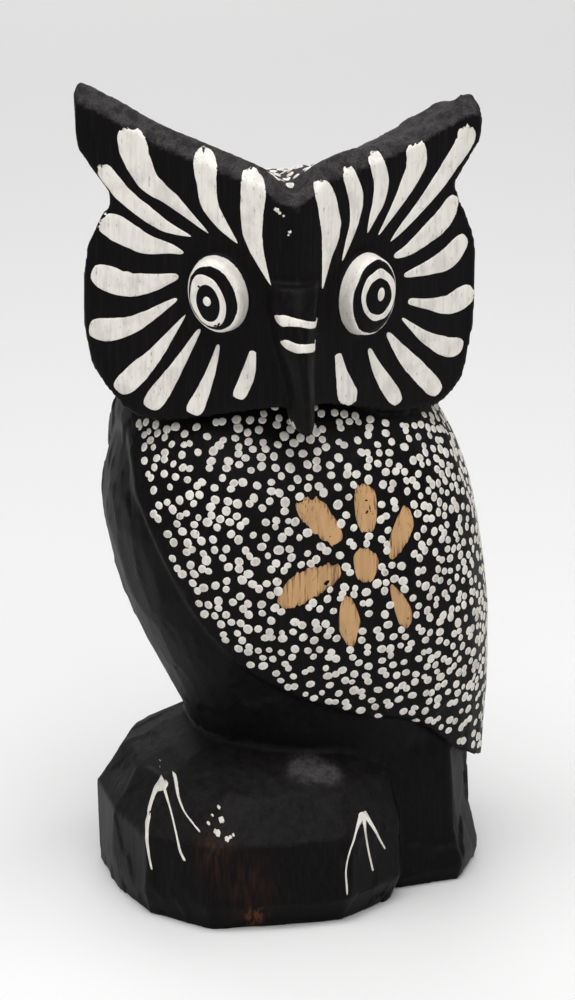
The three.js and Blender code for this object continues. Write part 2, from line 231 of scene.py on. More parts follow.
# Places where the wood was pared down further: x, y, z of the middle, reach, depth.
PARED_PLACES = (
    (-3.6, -33.5, 183.5, 6.0, 3.0),
    (-3.2, -14.0, 181.0, 8.0, -2.0),
    (10.0, -16.0, 184.0, 7.0, 1.6),
    (18.0, -16.0, 189.0, 8.0, 2.0),
    (27.0, -13.0, 192.5, 8.0, 2.6),
    (36.0, -10.0, 195.5, 7.0, 2.6),
)

# Camera: where it stands, heading from straight ahead, pitch down, and lens in millimetres.
CAMERA_PLACE = (-0.17114, -0.97755, 0.390)
CAMERA_HEADING = math.radians(-10)
CAMERA_PITCH = math.radians(16.48)
CAMERA_LENS = 149.4


class StainSettings(bpy.types.PropertyGroup):
    black: FloatVectorProperty(
        name="Stain", description="Colour of the black stain", subtype="COLOR", size=3,
        default=(0.0042, 0.0036, 0.0037))
    brown: FloatVectorProperty(
        name="Worn wood", description="Colour where the stain has worn thin", subtype="COLOR", size=3,
        default=(0.085, 0.030, 0.014))
    gloss: FloatProperty(
        name="Roughness", description="Roughness of the lacquered stain", default=0.36, min=0.05, max=1)


class PaintSettings(bpy.types.PropertyGroup):
    white: FloatVectorProperty(
        name="White", description="Colour of the thick white paint", subtype="COLOR", size=3,
        default=(0.82, 0.79, 0.73))
    thin: FloatVectorProperty(
        name="Thin white", description="Colour where the brush left the paint thin", subtype="COLOR", size=3,
        default=(0.50, 0.47, 0.43))
    thickness: FloatProperty(
        name="Film", description="How far the paint stands off the wood", subtype="DISTANCE", unit="LENGTH",
        default=0.14 * MM, min=0, max=MM)
    dot_radius: FloatProperty(
        name="Dot radius", description="Mean radius of the dots", subtype="DISTANCE", unit="LENGTH",
        default=1.06 * MM, min=0.2 * MM, max=3 * MM)
    dot_seed: IntProperty(name="Dot seed", description="Start of the dots' random order", default=11, min=0)


class WoodSettings(bpy.types.PropertyGroup):
    tan: FloatVectorProperty(
        name="Bare wood", description="Colour of the scraped wood", subtype="COLOR", size=3,
        default=(0.56, 0.33, 0.15))
    streak: FloatVectorProperty(
        name="Streak", description="Colour of the stain left in the grain", subtype="COLOR", size=3,
        default=(0.17, 0.075, 0.03))


class LightSettings(bpy.types.PropertyGroup):
    floor: FloatVectorProperty(
        name="Floor", description="Colour of the floor", subtype="COLOR", size=3, default=(0.80, 0.80, 0.80))
    sky: FloatProperty(name="Sky", description="Strength of the even light", default=0.22, min=0)
    top: FloatProperty(
        name="Top light", description="Power of the soft light overhead", subtype="POWER", unit="POWER",
        default=17, min=0)


# Shader expressions
class Value:
    """A shader socket that takes part in sums. Each operation adds the Math node for it."""

    def __init__(self, shader, socket):
        self.shader = shader
        self.socket = socket

    def math(self, operation, *others):
        return self.shader.node("ShaderNodeMath", {"operation": operation}, dict(enumerate((self, *others))))

    def __add__(self, other):
        return self.math("ADD", other)

    __radd__ = __add__

    def __mul__(self, other):
        return self.math("MULTIPLY", other)

    __rmul__ = __mul__

    def __sub__(self, other):
        return self.math("SUBTRACT", other)

    def __rsub__(self, other):
        return self.shader.node("ShaderNodeMath", {"operation": "SUBTRACT"}, {0: other, 1: self})

    def above(self, low, high):
        """0 below low, 1 above high, with a soft step between them."""
        settings = {"interpolation_type": "SMOOTHSTEP"}
        return self.shader.node("ShaderNodeMapRange", settings, {0: self, 1: low, 2: high})


class Shader:
    """A node material that is built from expressions."""

    def __init__(self, name):
        self.material = bpy.data.materials.new(name)
        self.material.use_nodes = True
        self.tree = self.material.node_tree
        self.tree.nodes.clear()
        self.place = self.node("ShaderNodeTexCoord", output="Object")

    def node(self, kind, settings=None, inputs=None, output=0):
        """Adds a node of that kind, sets it, then gives its sockets values or links."""
        made = self.tree.nodes.new(kind)
        for key, value in (settings or {}).items():
            setattr(made, key, value)
        for key, value in (inputs or {}).items():
            if isinstance(value, Value):
                self.tree.links.new(value.socket, made.inputs[key])
            else:
                made.inputs[key].default_value = value
        return Value(self, made.outputs[output]) if made.outputs else None

    def noise(self, scale, detail=2.0, roughness=0.5):
        """Noise whose cells per metre are given for x, y and z."""
        spread = self.node("ShaderNodeVectorMath", {"operation": "MULTIPLY"}, {0: self.place, 1: scale})
        return self.node("ShaderNodeTexNoise", None, {"Vector": spread, "Scale": 1.0, "Detail": detail,
                                                      "Roughness": roughness})

    def mix(self, factor, first, second):
        """Blends two colours; a colour is a socket or three numbers."""
        first, second = (c if isinstance(c, Value) else (*c, 1) for c in (first, second))
        return self.node("ShaderNodeMix", {"data_type": "RGBA"}, {0: factor, 6: first, 7: second}, 2)

    def attribute(self, name):
        return self.node("ShaderNodeAttribute", {"attribute_name": name}, output="Fac")

    def bump(self, height, distance, strength=1.0):
        inputs = {"Height": height, "Distance": distance, "Strength": strength}
        return self.node("ShaderNodeBump", None, inputs)

    def finish(self, varied, fixed):
        """The one Principled surface: varied goes in as links, fixed as numbers on the sockets."""
        inputs = {**varied, **fixed}
        surface = self.node("ShaderNodeBsdfPrincipled", None, inputs)
        self.node("ShaderNodeOutputMaterial", None, {"Surface": surface})
        return self.material


def black_stain(settings):
    """Black stain under a satin lacquer: upright grain, pores, pitted end grain where the wood faces up,
    painted lighter grey there as painted sheen from the light overhead, and red-brown wood where it has worn."""
    s = Shader("stained_wood")
    fibres = s.noise((1500, 1500, 95), 3.0, 0.6)
    pores = s.noise((3000, 3000, 330), 1.0).above(0.66, 0.72)
    blotch = s.noise((95, 95, 40), 3.0)
    pits = s.noise((2600, 2600, 2600), 3.0, 0.65)
    cloud = s.noise((420, 420, 300), 3.0, 0.6)
    end_grain_and_sheen = s.attribute("end_grain_and_sheen")
    worn = s.attribute("worn") * s.noise((900, 900, 60), 3.0, 0.65).above(0.38, 0.68)
    black = tuple(settings.black)
    warm = s.mix(fibres.above(0.45, 0.75) * 0.5, black, tuple(2.6 * c for c in settings.black))
    # Lighter grey: pitted end grain, and painted sheen where the wood faces the light overhead.
    pits_and_sheen = end_grain_and_sheen * (0.3 + 0.7 * pits.above(0.36, 0.62)) * (0.45 + 0.55 * cloud.above(0.36, 0.6))
    with_pits_and_sheen = s.mix(pits_and_sheen, warm, (0.088, 0.081, 0.086))
    colour = s.mix(worn, with_pits_and_sheen, tuple(settings.brown))
    rough = settings.gloss + 0.2 * blotch + end_grain_and_sheen * 0.18 + worn * 0.2
    relief = fibres * 0.55 - pores * 0.8 - end_grain_and_sheen * pits.above(0.5, 0.66) * 0.9
    return s.finish({"Base Color": colour, "Roughness": rough, "Normal": s.bump(relief, 0.14 * MM)},
                    {"Specular IOR Level": 0.065})


def white_paint(settings):
    """Matt white paint that lets the upright grain show through in grey streaks and pinholes."""
    s = Shader("painted_white")
    streaks = s.noise((1300, 1300, 90), 3.0, 0.6)
    clouds = s.noise((240, 240, 150), 4.0, 0.6)
    specks = s.noise((2300, 2300, 520), 1.0).above(0.70, 0.76)
    thin = s.attribute("thin")
    veil = streaks.above(0.46, 0.74) * 0.36 + thin * 0.75 + clouds.above(0.44, 0.66) * 0.42
    colour = s.mix(veil, tuple(settings.white), tuple(settings.thin))
    colour = s.mix(specks * 0.55, colour, (0.16, 0.14, 0.12))
    relief = streaks * 0.6 - specks
    return s.finish({"Base Color": colour, "Roughness": 0.5 + 0.2 * clouds,
                     "Normal": s.bump(relief, 0.1 * MM)}, {"Specular IOR Level": 0.35})


def bare_wood(settings):
    """Scraped wood: tan, with upright streaks of stain left in the grain and more of it at the
    edge of the patch."""
    s = Shader("scraped_wood")
    grain = s.noise((1900, 1900, 75), 4.0, 0.65)
    bands = s.noise((520, 520, 28), 2.0)
    edge = s.attribute("edge")
    lines = (grain + edge * 0.16).above(0.60, 0.72)
    colour = s.mix(bands.above(0.35, 0.7) * 0.6, tuple(settings.tan), tuple(0.72 * c for c in settings.tan))
    colour = s.mix(lines * 0.85, colour, tuple(settings.streak))
    colour = s.mix(s.noise((1400, 1400, 110), 2.0).above(0.71, 0.76), colour, (0.02, 0.012, 0.01))
    return s.finish({"Base Color": colour, "Roughness": 0.55 + 0.15 * bands,
                     "Normal": s.bump(grain - lines * 0.5, 0.14 * MM)}, {"Specular IOR Level": 0.35})


# Numbers and meshes
def lattice_noise(points, cell, seed):
    """Smooth noise from -1 to 1: a random number at each corner of a grid of that cell size,
    blended between the corners with a smooth step."""
    place = points / np.asarray(cell, float)
    base = np.floor(place).astype(np.int64)
    part = place - base
    part = part * part * (3 - 2 * part)
    total = np.zeros(len(points))
    for corner in np.ndindex(2, 2, 2):
        k = base + corner
        mixed = (k[:, 0] * 73856093) ^ (k[:, 1] * 19349663) ^ (k[:, 2] * 83492791) ^ (seed * 2654435761)
        mixed = ((mixed ^ (mixed >> 13)) * 1274126177) & 0x7FFFFFFF
        mixed = (mixed ^ (mixed >> 15)) & 0xFFFF
        share = np.where(corner, part, 1 - part).prod(1)
        total += share * (mixed / 32767.5 - 1)
    return total


def vertex_array(mesh):
    flat = np.empty(len(mesh.vertices) * 3)
    mesh.vertices.foreach_get("co", flat)
    return flat.reshape(-1, 3)


def normal_array(mesh):
    flat = np.empty(len(mesh.vertices) * 3)
    mesh.vertex_normals.foreach_get("vector", flat)
    return flat.reshape(-1, 3)


def put_vertices(mesh, points):
    mesh.vertices.foreach_set("co", points.astype(np.float32).ravel())
    mesh.update()


def put_attribute(mesh, name, values):
    layer = mesh.attributes.new(name, "FLOAT", "POINT")
    layer.data.foreach_set("value", np.asarray(values, np.float32))


def object_of(name, mesh):
    made = bpy.data.objects.new(name, mesh)
    bpy.context.scene.collection.objects.link(made)
    return made


def mesh_of(name, points, faces):
    """A mesh from an array of points and an array of corner numbers, three or four a face."""
    mesh = bpy.data.meshes.new(name)
    mesh.from_pydata(points.tolist(), [], faces.tolist())
    mesh.update()
    return mesh


def with_modifiers(made):
    """The mesh that the object's modifiers give, with the modifiers used up."""
    evaluated = made.evaluated_get(bpy.context.evaluated_depsgraph_get())
    mesh = bpy.data.meshes.new_from_object(evaluated)
    made.modifiers.clear()
    made.data = mesh
    return mesh


def dressed(made, material, smooth=True):
    """Gives a finished piece its material and its body."""
    made.data.materials.clear()
    made.data.materials.append(material)
    made.data.polygons.foreach_set("use_smooth", np.full(len(made.data.polygons), smooth))
    made.data.update()
    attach(made, "root")
    return made


def material_named(name, maker, settings):
    return bpy.data.materials.get(name) or maker(settings)


def painted(made, paint, thin=0.0):
    """Finishes a piece of white film; thin says how much of the wood its paint lets through."""
    if "thin" not in made.data.attributes:
        put_attribute(made.data, "thin", np.full(len(made.data.vertices), thin))
    dressed(made, material_named("painted_white", white_paint, paint))
    return {"FINISHED"}


def smooth_path(points, count):
    """Points evenly spaced along a curve through a table's rows. Each stretch is a cubic whose
    slope at a row is half the difference of its neighbours."""
    rows = np.asarray(points, float)
    padded = np.vstack([2 * rows[0] - rows[1], rows, 2 * rows[-1] - rows[-2]])
    t = np.linspace(0, len(rows) - 1, 12 * len(rows))
    i = np.minimum(t.astype(int), len(rows) - 2)
    f = (t - i)[:, None]
    a, b, c, d = padded[i], padded[i + 1], padded[i + 2], padded[i + 3]
    fine = b + 0.5 * f * (c - a + f * (2 * a - 5 * b + 4 * c - d + f * (3 * (b - c) + d - a)))
    length = np.r_[0, np.cumsum(np.hypot(*np.diff(fine[:, :2], axis=0).T))]
    even = np.linspace(0, length[-1], count)
    return np.stack([np.interp(even, length, column) for column in fine.T], 1), length[-1]


def grid_faces(rows, columns, closed=False):
    """Corner numbers of a grid of quads; a closed one joins its last column to its first."""
    i, j = np.meshgrid(np.arange(rows - 1), np.arange(columns - (0 if closed else 1)), indexing="ij")
    i, j = i.ravel(), j.ravel()
    k = (j + 1) % columns
    return np.stack([i * columns + j, (i + 1) * columns + j, (i + 1) * columns + k, i * columns + k], 1)


def disc_faces(rings, sides):
    """Corner numbers of rings of quads round a middle, which a ladder of quads closes."""
    k = np.arange(sides // 2 - 1)
    middle = np.stack([k, k + 1, sides - 2 - k, sides - 1 - k], 1)
    return np.vstack([grid_faces(rings, sides, closed=True), middle])


def drape(name, points, faces, wood, method="along_y"):
    """Lays a thin sheet on the wood: each point goes along y, along its own normal or to the
    nearest spot. Faces that miss the wood or hang over an edge of it are dropped."""
    sheet = object_of(name, mesh_of(name, points, faces))
    wrap = sheet.modifiers.new("drape", "SHRINKWRAP")
    wrap.target = wood
    if method == "nearest":
        wrap.wrap_method = "NEAREST_SURFACEPOINT"
    else:
        wrap.wrap_method = "PROJECT"
        wrap.use_project_y = method == "along_y"
        wrap.use_positive_direction = method == "along_y"
        wrap.use_negative_direction = method == "along_normal"
        wrap.project_limit = 0 if method == "along_y" else 4 * MM
    laid = vertex_array(with_modifiers(sheet))
    moved = np.abs(laid - points).max(1) > 1e-7
    good = moved[faces].all(1)
    if method == "along_y":
        depth = laid[faces][:, :, 1]
        good &= depth.max(1) - depth.min(1) < 2.2 * MM
    elif method == "along_normal":
        gap = np.linalg.norm((laid - points)[faces], axis=2)
        good &= gap.max(1) - gap.min(1) < 0.9 * MM
    return sheet, laid, faces[good]


def film(name, points, faces, lift, wood, method="along_y", marks=None):
    """A film of paint: a draped sheet raised off the wood along its normals by its lift."""
    sheet, laid, faces = drape(name, points, faces, wood, method)
    used = np.unique(faces)
    renumber = np.zeros(len(points), int)
    renumber[used] = np.arange(len(used))
    mesh = mesh_of(name, laid[used], renumber[faces])
    put_vertices(mesh, np.clip(laid[used] + normal_array(mesh) * lift[used, None], CAD_LOW, CAD_HIGH))
    for key, values in (marks or {}).items():
        put_attribute(mesh, key, values[used])
    sheet.data = mesh
    return sheet


def stroke_grid(rows, brushed, seed, spacing=0.55, across=13):
    """A brush stroke seen from the front: its middle is a curve, its width swells and tapers
    along it, and its outer end is an arch, or ragged where the brush was lifted."""
    rng = np.random.default_rng(seed)
    rough_length = np.hypot(*np.diff(np.asarray(rows)[:, :2], axis=0).T).sum()
    count = max(int(rough_length / spacing), 12)
    path, length = smooth_path(rows, count)
    u = np.linspace(0, 1, count)
    v = np.linspace(-1, 1, across)
    along = np.gradient(path[:, :2], axis=0)
    along /= np.linalg.norm(along, axis=1)[:, None]
    left = np.stack([-along[:, 1], along[:, 0]], 1)
    half = path[:, 2] / 2
    reach = min(0.8 * path[0, 2] / length, 0.4)
    power = 3.2 if brushed else 2.4
    arch = (1 - np.clip(1 - u / reach, 0, 1) ** power) ** (1 / power)
    point = np.clip((1 - u) / 0.04, 0, 1) ** 0.5
    spine = np.stack([path[:, 0], np.full(count, float(seed)), path[:, 1]], 1)
    wobble_left, wobble_right = (
        1 + 0.05 * lattice_noise(spine, 1.7, start) + 0.025 * lattice_noise(spine, 0.6, start + 1)
        for start in (seed, seed + 2)
    )
    half = half * np.maximum(arch * point, 0.04)
    width = half[:, None] * np.where(v > 0, wobble_left[:, None], wobble_right[:, None])
    plan = path[:, None, :2] + left[:, None, :] * (width * v)[:, :, None]
    if brushed:
        teeth = np.interp(v, np.linspace(-1, 1, 9), rng.uniform(-1, 1, 9))
        push = (0.75 * teeth)[None, :] * np.clip(1 - u / (2 * reach), 0, 1)[:, None]
        plan = plan + along[:, None, :] * push[:, :, None]
    rim = np.abs(v)[None, :] ** 6 + np.clip(1 - u * length / 0.4, 0, 1)[:, None]
    rim = np.maximum(rim, np.clip(1 - (1 - u) * length / 0.3, 0, 1)[:, None])
    ridge = 0.12 * lattice_noise(np.stack([v * 3, np.full(across, float(seed)), v * 0], 1), 0.5, seed + 5)
    lift = (1 + ridge[None, :]) * (1 - np.clip(rim, 0, 1) * 1.9)
    return plan, lift


def in_front(x, z):
    """Points on the plane in front of the owl, in metres."""
    return np.stack([x, np.full_like(x, FRONT_Y), z], -1).reshape(-1, 3) * MM


def stroke_film(name, tables, wood, thickness, seed, spacing=0.55, across=13):
    """One piece of film for many strokes, laid on from the front."""
    points, faces, lifts = [], [], []
    start = 0
    for number, (rows, brushed) in enumerate(tables):
        plan, lift = stroke_grid(rows, brushed, seed + 7 * number, spacing, across)
        points.append(in_front(plan[..., 0], plan[..., 1]))
        faces.append(grid_faces(*lift.shape) + start)
        lifts.append(lift.ravel() * thickness)
        start += lift.size
    return film(name, np.vstack(points), np.vstack(faces), np.concatenate(lifts), wood)


def knife_cuts(points, normals, count, depth, seed):
    """Flattens the surface in patches, as a knife does: each point is drawn towards the plane of
    the nearest cut, where distance counts less along the grain, and by no more than depth."""
    rng = np.random.default_rng(seed)
    picked = rng.choice(len(points), count, replace=False)
    squeeze = np.array([1, 1, 0.42])
    places, seeds = points * squeeze, points[picked] * squeeze
    nearest = np.empty(len(points), int)
    for start in range(0, len(points), 8000):
        part = places[start:start + 8000]
        distance = (part**2).sum(1)[:, None] + (seeds**2).sum(1)[None, :] - 2 * part @ seeds.T
        nearest[start:start + 8000] = distance.argmin(1)
    cut = picked[nearest]
    height = ((points - points[cut]) * normals[cut]).sum(1)
    agree = np.clip(((normals * normals[cut]).sum(1) - 0.8) / 0.15, 0, 1)
    return -np.clip(height, -depth, depth) * agree


def inside_polygon(x, z, corners):
    """Even-odd test of points against a closed polygon, as whole arrays."""
    inside = np.zeros(len(x), bool)
    for (x0, z0), (x1, z1) in zip(corners, corners[1:] + corners[:1]):
        crosses = (z0 > z) != (z1 > z)
        inside ^= crosses & (x < (x1 - x0) * (z - z0) / (z1 - z0 + 1e-12) + x0)
    return inside


def distance_to_polygon(x, z, corners):
    """Distance from points to the sides of a closed polygon."""
    best = np.full(len(x), np.inf)
    for a, b in zip(corners, corners[1:] + corners[:1]):
        side = np.subtract(b, a)
        t = np.clip(((x - a[0]) * side[0] + (z - a[1]) * side[1]) / (side @ side), 0, 1)
        best = np.minimum(best, np.hypot(x - a[0] - t * side[0], z - a[1] - t * side[1]))
    return best


def spaced_picks(points, gap, rng):
    """Numbers of points that are at least gap apart. Each round keeps the points with the lowest
    random rank among all those within the gap, and drops the ones beside them."""
    rank = rng.permutation(len(points)).astype(float)
    alive = np.arange(len(points))
    kept = []
    while alive.size:
        here = points[alive]
        squares = (here**2).sum(1)
        lowest = np.empty(len(alive))
        for start in range(0, len(alive), 1500):
            part = here[start:start + 1500]
            near = squares[start:start + 1500, None] + squares[None, :] - 2 * part @ here.T < gap * gap
            lowest[start:start + 1500] = np.where(near, rank[alive][None, :], np.inf).min(1)
        chosen = alive[rank[alive] <= lowest]
        kept.append(chosen)
        near_chosen = np.zeros(len(alive), bool)
        best = points[chosen]
        for start in range(0, len(alive), 1500):
            part = here[start:start + 1500]
            gaps = squares[start:start + 1500, None] + (best**2).sum(1)[None, :] - 2 * part @ best.T
            near_chosen[start:start + 1500] = (gaps < gap * gap).any(1)
        alive = alive[~near_chosen]
    return np.concatenate(kept)


# Pieces
class OWL_OT_stage(bpy.types.Operator):
    """Sets up the camera, the pale floor and the soft light"""

    bl_idname = "owl.stage"
    bl_label = "Stage"

    def execute(self, context):
        light = context.scene.owl_light
        data = bpy.data.cameras.new("camera")
        data.lens = CAMERA_LENS
        data.sensor_width = 36
        data.sensor_fit = "AUTO"
        data.clip_start, data.clip_end = 0.01, 50
        camera = object_of("camera", data)
        camera.location = CAMERA_PLACE
        camera.rotation_euler = (math.pi / 2 - CAMERA_PITCH, 0, CAMERA_HEADING)
        context.scene.camera = camera
        context.scene.view_settings.view_transform = "Standard"

        shader = Shader("floor")
        soft = shader.noise((3, 3, 3), 2.0)
        shade = shader.mix(soft * 0.3, tuple(light.floor), tuple(0.985 * c for c in light.floor))
        shader.finish({"Base Color": shade, "Roughness": 0.75 + 0.1 * soft}, {"Specular IOR Level": 0.2})
        radius, rings, spokes = 4.0, 24, 64
        r = np.linspace(0.01, 1, rings) * radius
        angle = np.linspace(0, 2 * np.pi, spokes, endpoint=False)
        x, y = np.outer(r, np.cos(angle)).ravel(), np.outer(r, np.sin(angle)).ravel()
        points = np.vstack([np.stack([x, y, 0 * x], 1), [[0, 0, 0]]])
        faces = grid_faces(rings, spokes, closed=True).tolist()
        hub = len(points) - 1
        faces += [[hub, k, (k + 1) % spokes] for k in range(spokes)]
        mesh = bpy.data.meshes.new("floor")
        mesh.from_pydata(points.tolist(), [], faces)
        floor = object_of("floor", mesh)
        mesh.materials.append(shader.material)

        world = bpy.data.worlds.new("soft_light")
        context.scene.world = world
        world.use_nodes = True
        background = world.node_tree.nodes["Background"]
        background.inputs["Color"].default_value = (1.0, 0.995, 0.985, 1)
        background.inputs["Strength"].default_value = light.sky

        for name, place, aim, size, power in (
            ("top_light", (-0.1, -0.3, 1.35), (-0.05, -0.2, 0), 1.3, light.top),
            ("back_light", (0.2, 2.6, 1.5), (0.1, 2.3, 0), 2.0, light.top * 1.75),
            ("front_light", (0.1, -1.6, 1.0), (0, -0.1, 0.1), 1.6, light.top * 0.52),
            ("left_light", (-1.2, 0.1, 0.8), (0, 0, 0.1), 0.8, light.top * 0.08),
            ("right_light", (1.3, 0.3, 0.8), (0, 0, 0.1), 0.8, light.top * 0.12),
        ):
            lamp = bpy.data.lights.new(name, "AREA")
            lamp.shape = "DISK"
            lamp.size = size
            lamp.energy = power
            placed = object_of(name, lamp)
            placed.location = place
            placed.rotation_euler = (Vector(aim) - Vector(place)).to_track_quat("-Z", "Y").to_euler()
        return {"FINISHED"}


class OWL_OT_carving(bpy.types.Operator):
    """Builds the carved block with knife cuts, soft arrises and worn places"""

    bl_idname = "owl.carving"
    bl_label = "Carving"

    def execute(self, context):
        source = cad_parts["owl"].data.copy()
        merged = bmesh.new()
        merged.from_mesh(source)
        bmesh.ops.remove_doubles(merged, verts=merged.verts, dist=1e-6)
        merged.to_mesh(source)
        merged.free()
        carving = object_of("carving", source)
        remesh = carving.modifiers.new("fine", "REMESH")
        remesh.mode = "VOXEL"
        remesh.voxel_size = VOXEL * MM
        fit = carving.modifiers.new("fit", "SHRINKWRAP")
        fit.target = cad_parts["owl"]
        fit.wrap_method = "NEAREST_SURFACEPOINT"
        soften = carving.modifiers.new("soften", "SMOOTH")
        soften.factor = 0.5
        soften.iterations = 3
        mesh = with_modifiers(carving)
        if not mesh.vertices:
            raise RuntimeError("the remesh gave no faces")
        points = vertex_array(mesh) / MM
        normals = normal_array(mesh)
        calm = 1 - 0.75 * ((points[:, 1] < -16) & (points[:, 2] > 124))
        points += normals * (calm * knife_cuts(points, normals, CUT_COUNT, CUT_DEPTH, 5))[:, None]
        for x, y, z, reach, depth in PARED_PLACES:
            away = ((points - (x, y, z)) ** 2).sum(1) / reach**2
            points[:, 2] -= depth * np.exp(-(away**2))
        put_vertices(mesh, points * MM)
        normals = normal_array(mesh)
        grain = lattice_noise(points, (2.2, 2.2, 16), 3) * 0.045
        waves = lattice_noise(points, (9, 9, 26), 4) * 0.16
        points += normals * ((grain + waves) * calm)[:, None]
        low = points[:, 2] < BASE_HOLD
        points[low, 2] = np.clip((points[low, 2] - 0.35) * 1.4, 0, None)
        room = np.array([PAINT_ROOM, PAINT_ROOM, 0])
        points = np.clip(points, np.array(CAD_LOW) / MM + room, np.array(CAD_HIGH) / MM - room)
        put_vertices(mesh, points * MM)
        normals = normal_array(mesh)
        worn = np.zeros(len(points))
        for x, y, z, across, up, strength in WORN_PLACES:
            away = (((points - (x, y, z)) / (across, across, up)) ** 2).sum(1)
            worn += strength * np.exp(-away)
        put_attribute(mesh, "worn", np.clip(worn, 0, 1.5))
        # Up-facing wood on the tuft tops, and a little on the stump, is painted lighter grey: painted sheen
        # from the light overhead, with the pitted end grain.
        up = np.clip((normals[:, 2] - 0.2) / 0.3, 0, 1)
        tufts = np.clip((points[:, 2] - 176) / 4, 0, 1)
        pits_and_sheen = np.where(points[:, 2] < 60, STUMP_PITS_AND_SHEEN, 0.0) + tufts * (1 - STUMP_PITS_AND_SHEEN)
        end_grain_and_sheen = pits_and_sheen * up * up * (3 - 2 * up)
        for x, y, z, reach, strength in PITS_AND_SHEEN_PLACES:
            end_grain_and_sheen += strength * np.exp(-(((points - (x, y, z)) ** 2).sum(1) / reach**2) ** 2)
        put_attribute(mesh, "end_grain_and_sheen", np.clip(end_grain_and_sheen, 0, 2))
        dressed(carving, material_named("stained_wood", black_stain, context.scene.owl_stain))
        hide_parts("owl")
        return {"FINISHED"}


class OWL_OT_face_strokes(bpy.types.Operator):
    """Paints the strokes that fan out round the eyes"""

    bl_idname = "owl.face_strokes"
    bl_label = "Face strokes"

    def execute(self, context):
        paint = context.scene.owl_paint
        tables = [(rows, True) for rows in BRUSHED] + [(rows, False) for rows in ROUND]
        wood = bpy.data.objects["carving"]
        return painted(stroke_film("face_strokes", tables, wood, paint.thickness, 20), paint)


class OWL_OT_beak_strokes(bpy.types.Operator):
    """Paints the two strokes across the beak"""

    bl_idname = "owl.beak_strokes"
    bl_label = "Beak strokes"

    def execute(self, context):
        paint = context.scene.owl_paint
        tables = [(rows, False) for rows in BEAK_STROKES]
        wood = bpy.data.objects["carving"]
        made = stroke_film("beak_strokes", tables, wood, paint.thickness, 300, spacing=0.3, across=11)
        return painted(made, paint)


class OWL_OT_claws(bpy.types.Operator):
    """Trails the claws' thin lines of paint down the stump and scatters the stray flecks"""

    bl_idname = "owl.claws"
    bl_label = "Claws"

    def execute(self, context):
        paint = context.scene.owl_paint
        wood = bpy.data.objects["carving"]
        tables = [([(x, z, CLAW_WIDTH * width) for x, z, width in rows], False) for rows in CLAWS]
        made = stroke_film("claws", tables, wood, paint.thickness * 1.6, 400, spacing=0.3, across=7)
        painted(made, paint, 0.2)

        rng = np.random.default_rng(8)
        sides, rings = 12, 4
        angle = np.linspace(0, 2 * np.pi, sides, endpoint=False)
        share = np.array([0.02, 0.5, 0.85, 1.05])
        table = np.array(FLECKS)
        size = table[:, 2, None] * (1 + 0.25 * rng.uniform(-1, 1, (len(table), sides)))
        radius = size[:, None, :] * share[None, :, None]
        x = table[:, 0, None, None] + radius * np.cos(angle)
        z = table[:, 1, None, None] + radius * np.sin(angle)
        points = in_front(x, z)
        faces = np.vstack([disc_faces(rings, sides) + k * sides * rings for k in range(len(table))])
        lift = np.tile(np.repeat([1.0, 1.0, 0.7, -0.8], sides), len(table)) * paint.thickness
        return painted(film("flecks", points, faces, lift, wood), paint, 0.6)


def eye_axes(eye):
    """Directions across, up and out of an eye's boss, which stands square on the sloping face
    and leans outwards."""
    slope = eye["side"] * FACE_SLOPE
    lean = -eye["side"] * eye["lean"]
    across = np.array([math.cos(lean) * math.cos(slope), math.cos(lean) * math.sin(slope), math.sin(lean)])
    up = np.array([-math.sin(lean) * math.cos(slope), -math.sin(lean) * math.sin(slope), math.cos(lean)])
    out = np.array([math.sin(slope), -math.cos(slope), 0])
    return across, up, out


def eye_surface(eye, share, angle):
    """Points of an eye's boss at shares of its oval radius and at angles round it. The rise is
    read off the profile; shares past the shoulder run down the wall to the face."""
    across, up, out = eye_axes(eye)
    steps = np.hypot(np.diff(EYE_PROFILE_RADIUS) * eye["width"] / 2, np.diff(EYE_PROFILE_RISE) * EYE_RISE)
    run = np.r_[0, np.cumsum(steps)]
    radius = np.interp(share, run, EYE_PROFILE_RADIUS)
    rise = np.interp(share, run, EYE_PROFILE_RISE) * EYE_RISE
    x = radius * np.cos(angle) * eye["width"] / 2
    y = radius * np.sin(angle) * eye["height"] / 2
    return np.array(eye["centre"]) + x[..., None] * across + y[..., None] * up + rise[..., None] * out


def eye_run(eye, radius):
    """How far along the profile a share of the radius lies."""
    steps = np.hypot(np.diff(EYE_PROFILE_RADIUS) * eye["width"] / 2, np.diff(EYE_PROFILE_RISE) * EYE_RISE)
    run = np.r_[0, np.cumsum(steps)]
    return np.interp(radius, EYE_PROFILE_RADIUS, run), run[-1]


def oval_edge(oval, angle, seed):
    """Where rays from the boss's middle leave a leaning oval: the larger root of the oval's
    equation along each ray, made a little unsteady."""
    x, y, half_width, half_height, lean = oval
    turn = np.array([[math.cos(lean), math.sin(lean)], [-math.sin(lean), math.cos(lean)]])
    squeeze = turn / np.array([[half_width], [half_height]])
    rays = np.stack([np.cos(angle), np.sin(angle)])
    ray = squeeze @ rays
    middle = squeeze @ np.array([x, y])
    a, b, c = (ray**2).sum(0), ray.T @ middle, middle @ middle - 1
    probe = np.stack([*rays, np.full(len(angle), float(seed))], 1)
    return (b + np.sqrt(b * b - a * c)) / a * (1 + EYE_UNSTEADY * lattice_noise(probe, 0.45, seed))


def eye_band(eye, inner, outer, spokes=96, rows=9):
    """A band of film between two painted edges on an eye; an outer edge of None is the foot of
    the boss's wall."""
    angle = np.linspace(0, 2 * np.pi, spokes, endpoint=False)
    first = eye_run(eye, oval_edge(inner, angle, 70 + eye["side"]))[0]
    if outer is None:
        last = np.full(spokes, eye_run(eye, 1)[1] - 0.4)
    else:
        last = eye_run(eye, oval_edge(outer, angle, 75 + eye["side"]))[0]
    t = np.linspace(0, 1, rows)[:, None]
    run = first * (1 - t) + last * t
    points = eye_surface(eye, run, np.broadcast_to(angle, run.shape)).reshape(-1, 3) * MM
    lift = np.broadcast_to(1 - 1.8 * np.abs(2 * t - 1) ** 8, run.shape).ravel()
    return points, grid_faces(rows, spokes, closed=True), lift


